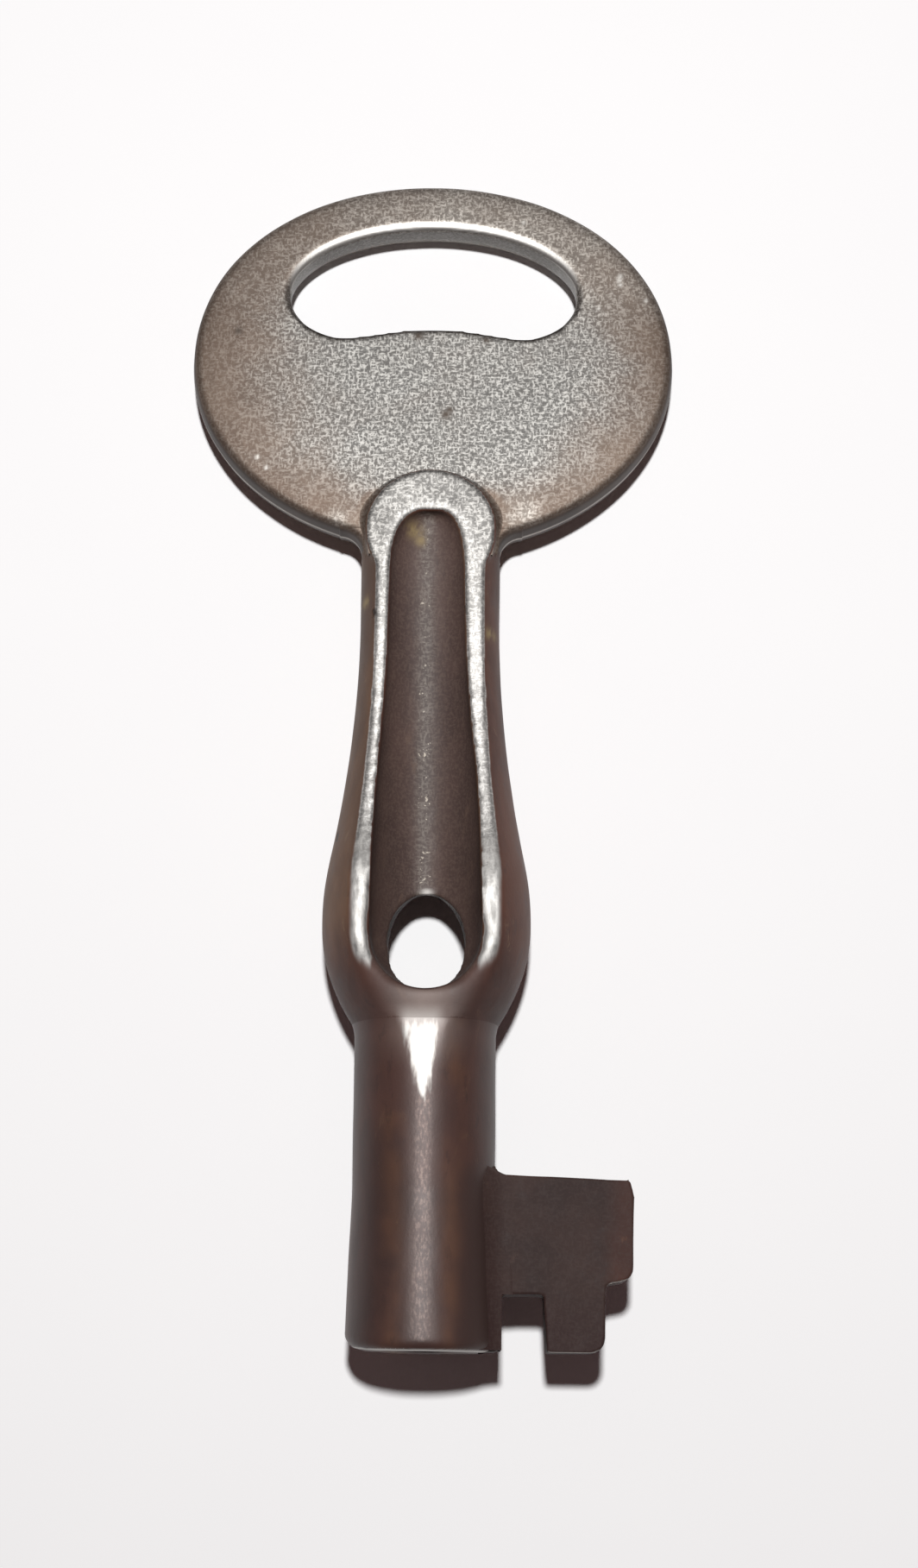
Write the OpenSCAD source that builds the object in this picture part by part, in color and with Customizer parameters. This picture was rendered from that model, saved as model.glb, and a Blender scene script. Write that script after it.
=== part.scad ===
// Railroad switch key, built up from four steel pieces that are brazed together.
// The origin is the centre of the barrel's mouth, +Y runs up the shank to the bow,
// +X points out along the bit, and +Z stands out of the front face.

/* [Bow] */
// Length of the whole key, from the barrel's mouth to the bow's far rim
key_l = 63.2; // [56:0.1:72]
// Width of the oval bow across the key
bow_w = 26.2; // [22:0.1:30]
// Height of the oval bow along the key
bow_h = 20.8; // [18:0.1:24]
// Thickness of the bow plate
bow_t = 2.6; // [1.6:0.1:3]
// Width of the kidney slot that takes the key ring
slot_w = 16; // [12:0.1:19]
// Height of the slot's arch, from its widest place up to its top
slot_rise = 4.1; // [2.5:0.1:5]
// Depth of the slot's two lobes, from its widest place down
slot_lobe = 2.85; // [1.5:0.05:4]
// How far the middle of the slot's lower edge rises between the lobes
slot_dip = 0.85; // [0:0.05:1.4]
// Distance of each lobe from the middle of the slot
lobe_x = 5.2; // [4:0.1:6]
// Metal left between the top of the slot and the bow's far rim
rim_w = 2.45; // [1.5:0.05:4]

/* [Shank] */
// Width of the shank at its neck, where it is narrowest
neck_w = 7.44; // [6.4:0.02:8.4]
// Thickness of the shank at its neck, front to back
neck_t = 5; // [4.8:0.1:6.4]
// Distance of the neck from the barrel's mouth
neck_y = 38.3; // [34:0.1:40]
// Width of the collar, where the shank swells most
collar_w = 10.92; // [9.6:0.02:12]
// Thickness of the collar, front to back
collar_t = 8.2; // [7.8:0.1:9.4]
// Distance of the collar's widest place from the barrel's mouth
collar_y = 21.8; // [20.5:0.1:24]
// Step from the barrel out to the collar's shoulder
shoulder_step = 0.12; // [0.05:0.01:0.5]
// Thickness of the collar over its flattened faces, at the shoulder
shoulder_t = 7; // [6.7:0.05:7.2]
// Share of the slope from neck to collar that curves inwards
hollow_share = 0.78; // [0.5:0.01:0.9]
// Length of the round-ended tongue that laps the bow's face, at the head of the shank
tongue_l = 4; // [3.4:0.1:5]
// Metal left between the end of the flute and the end of the tongue
tongue_lip = 2.2; // [1.4:0.1:3]

/* [Flute] */
// Radius of the flute's round bottom at its end on the tongue
flute_top_r = 2.1; // [1.6:0.05:2.3]
// Radius of the flute's round bottom at the window
flute_low_r = 2.9; // [2.5:0.05:3.1]
// Metal left between the flute's bottom and the joint with the bow, at the tongue
flute_floor = 0.1; // [0.05:0.05:0.4]
// Half the metal left between the front and back flutes, at the window
web_low = 0.2; // [0.1:0.05:0.8]
// How much wider the flute opens above its round bottom, on each side
flute_flare = 0.2; // [0.1:0.05:0.4]
// How far the middle of the flute's round end stands short of the drill's shoulder
window_back = 1.35; // [0.5:0.05:2]

/* [Barrel] */
// Outside diameter of the barrel below the collar
barrel_d = 7.32; // [7:0.02:8]
// Outside diameter of the barrel's flared mouth
mouth_d = 7.82; // [7.4:0.02:8.6]
// Length of the flared stretch
flare_l = 8; // [4:0.5:11]
// Rounding of the mouth's outer edge
mouth_round = 0.45; // [0.1:0.05:0.8]
// Length of the barrel, from its mouth to the collar's shoulder
barrel_l = 16.6; // [15:0.1:17.5]
// Diameter of the bore that slips over the lock's post
bore_d = 4.4; // [3.8:0.05:4.8]
// Depth of the bore down to the drill's shoulder
bore_depth = 22.3; // [20.5:0.1:24]
// Angle of the drill's point at the bottom of the bore
drill_angle = 118; // [90:1:140]
// Width of the small flat that the drill's chisel edge leaves in its point
chisel_w = 0.3; // [0.1:0.05:0.6]
// Length of the flat facets on which the collar's faces run out down the barrel
facet_l = 4.1; // [2:0.1:6]
// Length of the spigot that the shank holds inside the barrel
spigot_l = 4.6; // [3:0.1:6]
// Wall of the spigot around the bore
spigot_wall = 0.7; // [0.5:0.05:0.9]

/* [Bit] */
// Reach of the bit from the barrel's axis
bit_reach = 10.7; // [9.5:0.1:13]
// Thickness of the bit
bit_t = 3.2; // [2.4:0.1:4]
// Height of the bit along the barrel, at its root
bit_h = 8.75; // [7.5:0.05:10]
// How far the bit's upper edge drops towards its outer end
bit_drop = 0.3; // [0:0.05:0.8]
// Metal left between the barrel's mouth and the ward notch
notch_root = 0.1; // [0:0.05:0.5]
// Width of the ward notch next to the barrel
notch_w = 2.1; // [1.5:0.1:3]
// Height of the ward notch
notch_h = 2.9; // [2:0.1:4]
// Width of the tooth between the notch and the outer step
tooth_w = 3.1; // [2:0.1:3.6]
// Rounding of the tooth's outer corner
tooth_round = 0.7; // [0.2:0.1:1.2]
// Height at which the outer step ends
step_h = 3.6; // [2.5:0.1:5]
// Metal left under the bit's root, between its seat and the bore
root_floor = 0.55; // [0.4:0.05:0.8]

/* [Brazing] */
// Thickness of the filler metal drawn into each joint
braze_gap = 0.1; // [0.05:0.01:0.15]
// Size of the filler's fillet round the tongue
tongue_fillet = 0.5; // [0.2:0.05:0.8]
// Radius of the filler's fillets between the bow's rim and the shank
neck_fillet = 1.2; // [0.8:0.1:2]
// Radius of the filler's fillet above the bit
bit_fillet = 0.5; // [0.2:0.05:0.9]

/* [Hidden] */

$fn = 96;
// Room by which a cut passes the faces that it cuts
past = 1;
// Steps along the turned profile, along the flattened faces and in a quarter of a round end
turned_steps = 14;
face_steps = 8;
quarter_steps = 8;
// Degrees between the points of an oval
oval_step = 3;

bow_rx = bow_w / 2;
bow_ry = bow_h / 2;
bow_y = key_l - bow_ry;
bow_foot_y = key_l - bow_h;
slot_y = key_l - rim_w - slot_rise;

neck_r = neck_w / 2;
// The tongue is the ball end of the shank, and this is its radius on the bow's face
tongue_r = sqrt(pow(neck_r, 2) - pow(bow_t / 2, 2));
tongue_y = bow_foot_y + tongue_l - tongue_r;
flute_top_y = bow_foot_y + tongue_l - tongue_lip - flute_top_r;
// Half the metal left between the front and back flutes, at the tongue
web_top = bow_t / 2 + braze_gap + flute_floor;
flute_low_y = bore_depth - window_back;

bore_r = bore_d / 2;
drill_point_h = (bore_r - chisel_w / 2) / tan(drill_angle / 2);
barrel_r = barrel_d / 2;
mouth_r = mouth_d / 2;
spigot_r = bore_r + spigot_wall;
spigot_y = barrel_l - spigot_l;

root_x = bore_r + root_floor + braze_gap;
notch_x = mouth_r + notch_root;
tooth_x = notch_x + notch_w;
step_x = tooth_x + tooth_w;

// Half a width of the shank at height y, from its values at the neck, the collar and the shoulder
function hollow_then_round(t) =
    t < hollow_share ? t * t / hollow_share : 1 - pow(1 - t, 2) / (1 - hollow_share);
function swell(y, neck, collar, shoulder) =
    y < collar_y
    ? collar - (collar - shoulder) * pow((collar_y - y) / (collar_y - barrel_l), 2)
    : neck + (collar - neck) * hollow_then_round(max(0, (neck_y - y) / (neck_y - collar_y)));
function shank_half_w(y) = swell(y, neck_r, collar_w / 2, barrel_r + shoulder_step);
function shank_half_t(y) = swell(y, neck_t / 2, collar_t / 2, shoulder_t / 2);

// Even steps from one height or angle to another
function even_steps(from, to, steps) = [for (i = [0 : steps]) from + (to - from) * i / steps];

// Points of an arc round a centre
function arc(centre, r, from, to, steps = quarter_steps) =
    [for (a = even_steps(from, to, steps)) centre + r * [cos(a), sin(a)]];

// Turns a shape that stands along Z so that it lies along Y
module along_y() {
    rotate([-90, 0, 0])
        children();
}

// Copies a shape of the front onto the back
module both_faces() {
    children();
    mirror([0, 0, 1])
        children();
}

// Plan of the oval bow, grown all round by a film
module bow_plan(grow = 0) {
    translate([0, bow_y])
        polygon([for (a = [0 : oval_step : 360 - oval_step])
            [(bow_rx + grow) * cos(a), (bow_ry + grow) * sin(a)]]);
}

// Plan of the kidney slot: an arch above, two lobes with a rise between them below
module slot_plan() {
    step = 2 * oval_step;
    arch = [for (a = [0 : step : 180]) [slot_w / 2 * cos(a), slot_rise * sin(a)]];
    lobes = [for (a = [180 + step : step : 360 - step])
        let (x = slot_w / 2 * cos(a), depth = -slot_lobe * sin(a) * sqrt(1 + pow(cos(a), 2)))
        [x, slot_dip * pow(cos(90 * min(1, abs(x) / lobe_x)), 2) - depth]];
    translate([0, slot_y])
        polygon(concat(arch, lobes));
}

// The oval plate before its slot is cut
module bow_blank(grow = 0) {
    translate([0, 0, -bow_t / 2 - grow])
        linear_extrude(bow_t + 2 * grow)
            bow_plan(grow);
}

module bow() {
    color("#8f8a85")
        difference() {
            bow_blank();
            translate([0, 0, -bow_t / 2 - past])
                linear_extrude(bow_t + 2 * past)
                    slot_plan();
        }
}

// The turned outside of the shank, from its shoulder to its ball end
module shank_turned() {
    along_y()
        rotate_extrude()
            polygon(concat(
                [[0, barrel_l]],
                [for (y = even_steps(barrel_l, neck_y, turned_steps)) [shank_half_w(y), y]],
                arc([0, tongue_y], neck_r, 0, 90)));
}

// Side view of the flattened front and back faces, as a thick sheet across the key
module shank_faces() {
    rise = even_steps(barrel_l, neck_y, face_steps);
    front = [for (y = rise) [y, shank_half_t(y)]];
    back = [for (i = [face_steps : -1 : 0]) [rise[i], -shank_half_t(rise[i])]];
    low = rise[0] - past;
    high = tongue_y + neck_r + past;
    rotate([90, 0, 90])
        linear_extrude(collar_w + 2 * past, center = true)
            polygon(concat(
                [[low, shank_half_t(barrel_l)]],
                front,
                [[high, neck_t / 2], [high, -neck_t / 2]],
                back,
                [[low, -shank_half_t(barrel_l)]]));
}

// Outline round two ends of unlike radius, the first at the origin and the second along X
function tapered_slot(r1, r2, run) =
    concat(arc([0, 0], r1, 270, 90, 2 * quarter_steps), arc([run, 0], r2, 90, -90, 2 * quarter_steps));

// One flute of the front face: a tapered round bottom that opens into straight walls
module flute() {
    low = [flute_low_y, web_low + flute_low_r];
    top = [flute_top_y, web_top + flute_top_r];
    run = top - low;
    translate([0, low.x, low.y])
        rotate([atan2(run.y, run.x), 0, 0])
            along_y()
                rotate_extrude()
                    polygon(concat(
                        arc([0, 0], flute_low_r, -90, 0),
                        arc([0, norm(run)], flute_top_r, 0, 90)));
    translate([0, low.x, low.y - flute_flare])
        linear_extrude(collar_t)
            rotate(90)
                polygon(tapered_slot(flute_low_r + flute_flare, flute_top_r + flute_flare, run.x));
}

// The drilled bore with its pointed bottom, from a height up
module drilled_bore(from_y) {
    translate([0, from_y, 0])
        along_y()
            cylinder(h = bore_depth - from_y, r = bore_r);
    translate([0, bore_depth, 0])
        along_y()
            cylinder(h = drill_point_h, r1 = bore_r, r2 = chisel_w / 2);
}

// The shank without its bore, flutes and fork
module shank_blank() {
    intersection() {
        shank_turned();
        shank_faces();
    }
    translate([0, spigot_y, 0])
        along_y()
            cylinder(h = spigot_l, r = spigot_r);
}

module shank() {
    color("#7a6455")
        difference() {
            shank_blank();
            bow_blank(braze_gap);
            both_faces()
                flute();
            drilled_bore(spigot_y - past);
        }
}

// The outside of the barrel as a solid bar
module barrel_blank() {
    along_y()
        rotate_extrude()
            polygon(concat(
                [[0, 0]],
                arc([mouth_r - mouth_round, mouth_round], mouth_round, -90, 0),
                [[barrel_r, flare_l], [barrel_r, barrel_l], [0, barrel_l]]));
}

// The metal that the facet on the barrel's front takes off, level with the collar at the shoulder
module barrel_facet() {
    slope = (barrel_r - shoulder_t / 2) / facet_l;
    low = barrel_l - facet_l - past;
    high = barrel_l + past;
    rotate([90, 0, 90])
        linear_extrude(barrel_d, center = true)
            polygon([
                [low, barrel_r + slope * past],
                [high, shoulder_t / 2 - slope * past],
                [high, barrel_r + past],
                [low, barrel_r + past]]);
}

// The seat of the bit's root in the barrel, with room for the filler
module bit_seat() {
    translate([root_x - braze_gap, -past, -bit_t / 2 - braze_gap])
        cube([mouth_r, bit_h + braze_gap + past, bit_t + 2 * braze_gap]);
}

module barrel() {
    color("#6f5a4d")
        difference() {
            barrel_blank();
            translate([0, -past, 0])
                along_y()
                    cylinder(h = barrel_l + 2 * past, r = bore_r);
            translate([0, spigot_y, 0])
                along_y()
                    cylinder(h = spigot_l + past, r = spigot_r + braze_gap);
            both_faces()
                barrel_facet();
            bit_seat();
        }
}

module bit() {
    color("#5c5250")
        translate([0, 0, -bit_t / 2])
            linear_extrude(bit_t)
                polygon(concat(
                    [[root_x, 0], [root_x, bit_h], [bit_reach, bit_h - bit_drop]],
                    [[bit_reach, step_h], [step_x, step_h]],
                    arc([step_x - tooth_round, tooth_round], tooth_round, 0, -90),
                    [[tooth_x, 0], [tooth_x, notch_h], [notch_x, notch_h], [notch_x, 0]]));
}

// The filler's front fillet round the tongue's end
module tongue_bead() {
    face_z = bow_t / 2;
    translate([0, tongue_y, 0])
        rotate_extrude(angle = 180)
            polygon([
                [tongue_r - tongue_fillet, face_z],
                [tongue_r + tongue_fillet, face_z],
                [tongue_r - tongue_fillet, face_z + 2 * tongue_fillet]]);
}

// The fillet in the corner between the bow's rim and the right side of the shank
module neck_web() {
    r = neck_fillet;
    centre_x = neck_r + r;
    // The fillet's centre lies on the oval grown by the fillet's radius
    turn = acos(centre_x / (bow_rx + r));
    centre_y = bow_y - (bow_ry + r) * sin(turn);
    touch = [bow_rx * cos(turn), bow_y - bow_ry * sin(turn)];
    translate([0, 0, -bow_t / 2])
        linear_extrude(bow_t)
            difference() {
                polygon([
                    [0, centre_y],
                    [centre_x, centre_y],
                    touch,
                    [touch.x, touch.y + past],
                    [0, bow_y]]);
                translate([centre_x, centre_y])
                    circle(r);
            }
}

module bow_braze() {
    color("#a58a55") {
        difference() {
            intersection() {
                shank_blank();
                bow_blank(braze_gap);
            }
            bow_blank();
        }
        difference() {
            union() {
                both_faces()
                    tongue_bead();
                neck_web();
                mirror([1, 0, 0])
                    neck_web();
            }
            bow_blank();
            shank_blank();
        }
    }
}

module barrel_braze() {
    color("#a58a55")
        translate([0, spigot_y, 0])
            along_y()
                difference() {
                    cylinder(h = spigot_l, r = spigot_r + braze_gap);
                    translate([0, 0, -past])
                        cylinder(h = spigot_l + 2 * past, r = spigot_r);
                }
}

module bit_braze() {
    r = bit_fillet;
    color("#a58a55")
        difference() {
            union() {
                intersection() {
                    barrel_blank();
                    bit_seat();
                }
                translate([0, 0, -bit_t / 2])
                    linear_extrude(bit_t)
                        difference() {
                            translate([root_x, bit_h - bit_drop])
                                square([barrel_r + r - root_x, bit_drop + r]);
                            translate([barrel_r + r, bit_h + r])
                                circle(r);
                        }
            }
            bit();
            barrel();
        }
}

bow();
shank();
barrel();
bit();
bow_braze();
barrel_braze();
bit_braze();
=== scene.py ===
import math

import bmesh
import bpy
from mathutils import Matrix, Vector


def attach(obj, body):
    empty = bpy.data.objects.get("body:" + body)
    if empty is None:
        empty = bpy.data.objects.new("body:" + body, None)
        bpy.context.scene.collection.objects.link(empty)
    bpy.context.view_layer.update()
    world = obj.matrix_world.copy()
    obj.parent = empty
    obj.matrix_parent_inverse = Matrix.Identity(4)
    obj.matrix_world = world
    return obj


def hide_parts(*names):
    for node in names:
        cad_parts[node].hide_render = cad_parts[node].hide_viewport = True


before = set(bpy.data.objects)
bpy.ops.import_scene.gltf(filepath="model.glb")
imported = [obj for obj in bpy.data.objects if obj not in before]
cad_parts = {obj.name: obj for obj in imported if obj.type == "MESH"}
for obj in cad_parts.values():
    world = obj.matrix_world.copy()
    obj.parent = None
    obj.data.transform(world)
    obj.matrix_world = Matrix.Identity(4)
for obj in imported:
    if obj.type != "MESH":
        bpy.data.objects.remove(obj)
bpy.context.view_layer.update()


# The bow: a flat oval plate of steel, with a kidney-shaped slot for the ring and its foot brazed into
# the fork of the shank's head. Its rim and the slot's edges are rounded by years in a pocket, and its
# faces are worn to grey steel that browns towards the rim.
mm = 0.001
bow_w, bow_h, bow_t, bow_y = 26.2, 20.8, 2.6, 52.8
bow_points, bow_fullness, dent_room = 160, 2.09, 0.04
bow_crown = ((1.0, 0.09), (1.4, 0.06), (1.8, 0.03))
ridge = 0.14
slot_w, slot_rise, slot_lobe, slot_dip, lobe_x, slot_y = 16.0, 4.1, 2.85, 0.8, 5.3, 56.65
slot_points, slot_low_z = 96, -2.0
slot_flare = ((-2.0, 0.3), (-1.3, 0.3), (-1.25, 0.15), (-1.1, 0.0), (-0.8, -0.1), (-0.5, -0.2), (0.0, -0.3),
              (0.6, -0.32), (1.03, -0.31), (1.13, -0.26), (1.25, 0.14), (1.3, 0.26), (2.0, 0.3))
flare_drop, end_flare = 2.45, 0.6
belly_x, lip_reach = 7.4, 0.5
tongue_mid_y, neck_fade = 42.9, (44.8, 46.2)


def choose(piece):
    """Selects a piece alone."""
    bpy.ops.object.select_all(action="DESELECT")
    piece.select_set(True)
    bpy.context.view_layer.objects.active = piece


def take_all(mode=None):
    """Selects all of the piece in edit mode, by points or by faces where that is said."""
    if mode:
        bpy.ops.mesh.select_mode(type=mode)
    bpy.ops.mesh.select_all(action="SELECT")


def to_edit(piece, mode="VERT"):
    """Opens a piece alone for editing, with everything in it selected."""
    choose(piece)
    bpy.ops.object.mode_set(mode="EDIT")
    take_all(mode)


def to_object():
    """Closes the piece in edit mode."""
    bpy.ops.object.mode_set(mode="OBJECT")


def turn_out():
    """Turns the faces of the piece in edit mode outwards."""
    take_all()
    bpy.ops.mesh.normals_make_consistent(inside=False)


def pick(piece, test, faces=False):
    """Selects the points, or the faces, whose place in millimetres passes the test."""
    bpy.ops.mesh.select_all(action="DESELECT")
    mesh = bmesh.from_edit_mesh(piece.data)
    if faces:
        for face in mesh.faces:
            face.select = test(face.calc_center_median() / mm)
    else:
        for point in mesh.verts:
            point.select = test(point.co / mm)
    mesh.select_flush_mode()
    bmesh.update_edit_mesh(piece.data)


def round_plate(name, points, radius, place, turn=(0, 0, 0)):
    """Adds a filled circle at its size and place, in millimetres."""
    bpy.ops.object.select_all(action="DESELECT")
    bpy.ops.mesh.primitive_circle_add(
        vertices=points, radius=radius * mm, fill_type="NGON",
        location=Vector(place) * mm, rotation=turn)
    plate = bpy.context.object
    plate.name = plate.data.name = name
    bpy.ops.object.transform_apply(location=True, rotation=True, scale=True)
    return plate


def pull(x, y, z):
    """Extrudes what is selected by a step in millimetres."""
    bpy.ops.mesh.extrude_region_move(TRANSFORM_OT_translate={"value": (x * mm, y * mm, z * mm)})


def shift(x, y, z):
    """Moves what is selected by a step in millimetres."""
    bpy.ops.transform.translate(value=(x * mm, y * mm, z * mm))


def stretch(x, y, z, about):
    """Scales what is selected about a point in millimetres."""
    bpy.ops.transform.resize(value=(x, y, z), center_override=Vector(about) * mm)


def rub(rounds):
    """Smooths the points that are selected."""
    bpy.ops.mesh.vertices_smooth(factor=0.5, repeat=rounds)


def finish_with(piece, kind, **settings):
    """Adds a modifier to the piece and applies it."""
    choose(piece)
    modifier = piece.modifiers.new(kind.lower(), kind)
    for key, value in settings.items():
        setattr(modifier, key, value)
    bpy.ops.object.modifier_apply(modifier=modifier.name)


def break_edges(piece, width, segments, angle):
    """Rounds the edges of the piece that are sharper than an angle in degrees."""
    finish_with(piece, "BEVEL", width=width * mm, segments=segments, limit_method="ANGLE",
                angle_limit=math.radians(angle))


def cut(piece, cutter, operation="DIFFERENCE", solver="EXACT"):
    """Cuts the piece with another shape, which is thrown away."""
    finish_with(piece, "BOOLEAN", operation=operation, solver=solver, object=cutter)
    bpy.data.objects.remove(cutter)


def wear_down(piece, grain, rounds):
    """Gives the piece an even skin and rubs its edges round."""
    finish_with(piece, "REMESH", mode="VOXEL", voxel_size=grain * mm, use_smooth_shade=True)
    finish_with(piece, "SMOOTH", factor=0.5, iterations=rounds)


def dent(piece, span, depth):
    """Makes the faces of the piece very slightly uneven, as hand-worn metal is."""
    waves = bpy.data.textures.new(piece.name + "_waves", "CLOUDS")
    waves.noise_scale = span * mm
    waves.noise_depth = 1
    finish_with(piece, "DISPLACE", texture=waves, texture_coords="LOCAL", mid_level=0.5, strength=depth * mm)


def paint(piece, **masks):
    """Stores masks on the piece's points, each from a point's place in millimetres and its normal."""
    for name, value in masks.items():
        layer = piece.data.attributes.new(name, "FLOAT", "POINT")
        layer.data.foreach_set("value", [value(point.co / mm, point.normal) for point in piece.data.vertices])


def ease(low, high, value):
    """Goes smoothly from 0 at low to 1 at high."""
    t = min(1.0, max(0.0, (value - low) / (high - low)))
    return t * t * (3 - 2 * t)


rim_t = bow_t - 2 * sum(rise for inset, rise in bow_crown)
bow_plate = round_plate("bow_plate", bow_points, bow_w / 2, (0, bow_y, -rim_t / 2))
to_edit(bow_plate)
stretch(1, (bow_h - dent_room) / bow_w, 1, (0, bow_y, 0))
for i in range(1, bow_points // 4):
    angle = math.pi * i / (bow_points // 2)
    across, along = math.cos(angle), math.sin(angle)
    fuller = (across ** bow_fullness + along ** bow_fullness) ** (-1 / bow_fullness)
    pick(bow_plate, lambda p: p.y > bow_y and abs(abs(p.x) - bow_w / 2 * across) < 0.001)
    stretch(fuller, fuller, 1, (0, bow_y, 0))
take_all("FACE")
ridge_x, ridge_y = 1 - 2 * ridge / bow_w, 1 - 2 * ridge / bow_h
stretch(ridge_x, ridge_y, 1, (0, bow_y, 0))
pull(0, 0, rim_t / 2)
stretch(1 / ridge_x, 1 / ridge_y, 1, (0, bow_y, 0))
pull(0, 0, rim_t / 2)
stretch(ridge_x, ridge_y, 1, (0, bow_y, 0))
turn_out()
for face in (1, -1):
    pick(bow_plate, lambda p: face * p.z > rim_t / 2 - 0.001, faces=True)
    for inset, rise in bow_crown:
        bpy.ops.mesh.inset(thickness=inset * mm, depth=0)
        shift(0, 0, face * rise)
to_object()
break_edges(bow_plate, width=0.36, segments=4, angle=60)

slot = round_plate("slot", slot_points, slot_w / 2, (0, slot_y, slot_low_z))
to_edit(slot)
pick(slot, lambda p: p.y > slot_y + 0.01)
stretch(1, 2 * slot_rise / slot_w, 1, (0, slot_y, 0))


def lower_edge(x):
    """The slot's lower edge under its widest place: two lobes with a low rise between them."""
    rise = slot_dip * max(0.0, 1 - (x / lobe_x) ** 2) ** 1.3
    return rise - slot_lobe * math.sqrt(max(0.0, 1 - (2 * x / slot_w) ** 4))


for i in range(1, slot_points // 2):
    angle = math.pi * i / (slot_points // 2)
    x, y = slot_w / 2 * math.cos(angle), slot_w / 2 * math.sin(angle)
    pick(slot, lambda p: p.y < slot_y - 0.01 and abs(p.x - x) < 0.001)
    shift(0, lower_edge(x) + y, 0)
take_all("FACE")
slot_reach = slot_rise + flare_drop
flare_z, flare = slot_low_z, 0.0
for next_z, next_flare in slot_flare:
    if next_z > flare_z:
        pull(0, 0, next_z - flare_z)
    stretch((slot_w / 2 + end_flare * next_flare) / (slot_w / 2 + end_flare * flare),
            (slot_reach + next_flare) / (slot_reach + flare), 1, (0, slot_y - flare_drop, 0))
    flare_z, flare = next_z, next_flare
turn_out()
to_object()
cut(bow_plate, slot)

wear_down(bow_plate, grain=0.118, rounds=2)
to_edit(bow_plate)
pick(bow_plate, lambda p: abs(p.x) < belly_x - 0.2 and abs(p.y - slot_y - lower_edge(p.x)) < lip_reach)
rub(8)
to_object()
dent(bow_plate, span=5.0, depth=0.05)

scuff_marks = ((10.2, 57.8, 0.12), (10.15, 57.55, 0.12), (10.2, 57.3, 0.1), (9.0, 55.9, 0.08),
               (11.6, 56.4, 0.1), (-9.4, 47.2, 0.1), (-8.9, 46.6, 0.1), (4.9, 60.9, 0.1))
# Spots of painted highlight on the bow's face beside the neck.
neck_marks = ((5.0, 44.2, 0.7), (4.4, 43.9, 0.4), (-5.0, 43.8, 0.5))
speck_marks = ((0.75, 49.7, 0.3), (0.95, 49.95, 0.2), (-0.8, 54.2, 0.28), (2.9, 54.0, 0.2),
               (-10.6, 54.4, 0.2))


def rim_distance(p):
    """Distance from the middle of the bow, as a share of the way to its rim."""
    return math.hypot(2 * p.x / bow_w, 2 * (p.y - bow_y) / bow_h)


def at_rim(p):
    """The outermost band of the bow."""
    return ease(0.9, 0.96, rim_distance(p))


def on_wall(n):
    """How far a point faces sideways, as the rim's wall does."""
    return 1 - ease(0.4, 0.88, abs(n.z))


def on_ridge(p, n):
    """The low ridge round the middle of the rim's wall."""
    return math.exp(-(p.z / 0.09) ** 2) * (1 - ease(0.2, 0.5, abs(n.z)))


def near_places(p, places):
    """How close a point is to any of some round marks: (x, y, radius) each."""
    return max(math.exp(-((p.x - x) ** 2 + (p.y - y) ** 2) / r ** 2) for x, y, r in places)


def front_marks(p, places):
    """The same for marks that only the front bears."""
    return near_places(p, places) if p.z > 0 else 0.0


def slot_lip(p):
    """The slot's lower edge, where dirt stays."""
    if abs(p.x) > belly_x or p.y > slot_y:
        return 0.0
    over_lip = (p.y - slot_y - lower_edge(p.x) + 0.06) / 0.09
    return math.exp(-over_lip ** 2) * (1 - ease(belly_x - 0.8, belly_x, abs(p.x)))


def browning(p, n):
    """Brown film towards the rim, and round the foot of the tongue."""
    outer = ease(0.45, 1.1, rim_distance(p) - 0.004 * p.x + 0.004 * (p.y - bow_y))
    from_tongue = math.hypot(p.x, p.y - tongue_mid_y)
    return max(outer, (1 - ease(3.9, 4.9, from_tongue)) * (1 - ease(*neck_fade, p.y)))


paint(
    bow_plate,
    wall=lambda p, n: on_wall(n) * at_rim(p),
    slot_wall=lambda p, n: (1 - ease(0.1, 0.4, abs(n.z))) * (1 - at_rim(p)),
    polish=lambda p, n: (ease(0.08, 0.25, -n.y) * (1 - ease(0.68, 0.88, -n.y))
                         * (1 - ease(0.86, 0.93, rim_distance(p)))),
    ridge=lambda p, n: on_ridge(p, n) * at_rim(p),
    scuffs=lambda p, n: front_marks(p, scuff_marks),
    # Painted sheen: the bow's top, more on the right, and the spots beside the neck are painted a paler
    # steel, as if more light fell there.
    bright=lambda p, n: max(ease(53.5, 61.0, p.y) * (0.3 + 0.7 * ease(-8, 2, p.x)),
                            front_marks(p, neck_marks)),
    brown=browning,
    specks=lambda p, n: max(slot_lip(p), front_marks(p, speck_marks)))


def feed(tree, value, socket):
    """Leads a value into a socket: a number, a colour, a painted mask by its name, or another socket."""
    if isinstance(value, str):
        reader = tree.nodes.new("ShaderNodeAttribute")
        reader.attribute_name = value
        value = reader.outputs["Fac"]
    if isinstance(value, (int, float)):
        socket.default_value = value
    elif isinstance(value, tuple):
        socket.default_value = (*value, 1.0)
    else:
        tree.links.new(value, socket)


def noise(tree, vector, scale, detail=2.0, rough=0.5, distort=0.0):
    """A noise of a scale per metre, as a value from 0 to 1."""
    n = tree.nodes.new("ShaderNodeTexNoise")
    for label, value in (("Vector", vector), ("Scale", scale), ("Detail", detail), ("Roughness", rough),
                         ("Distortion", distort)):
        feed(tree, value, n.inputs[label])
    return n.outputs["Fac"]


def between(tree, value, low, high, out_low=0.0, out_high=1.0):
    """Maps a value's range onto another smoothly."""
    n = tree.nodes.new("ShaderNodeMapRange")
    n.interpolation_type = "SMOOTHSTEP"
    for label, given in (("Value", value), ("From Min", low), ("From Max", high), ("To Min", out_low),
                         ("To Max", out_high)):
        feed(tree, given, n.inputs[label])
    return n.outputs["Result"]


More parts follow.
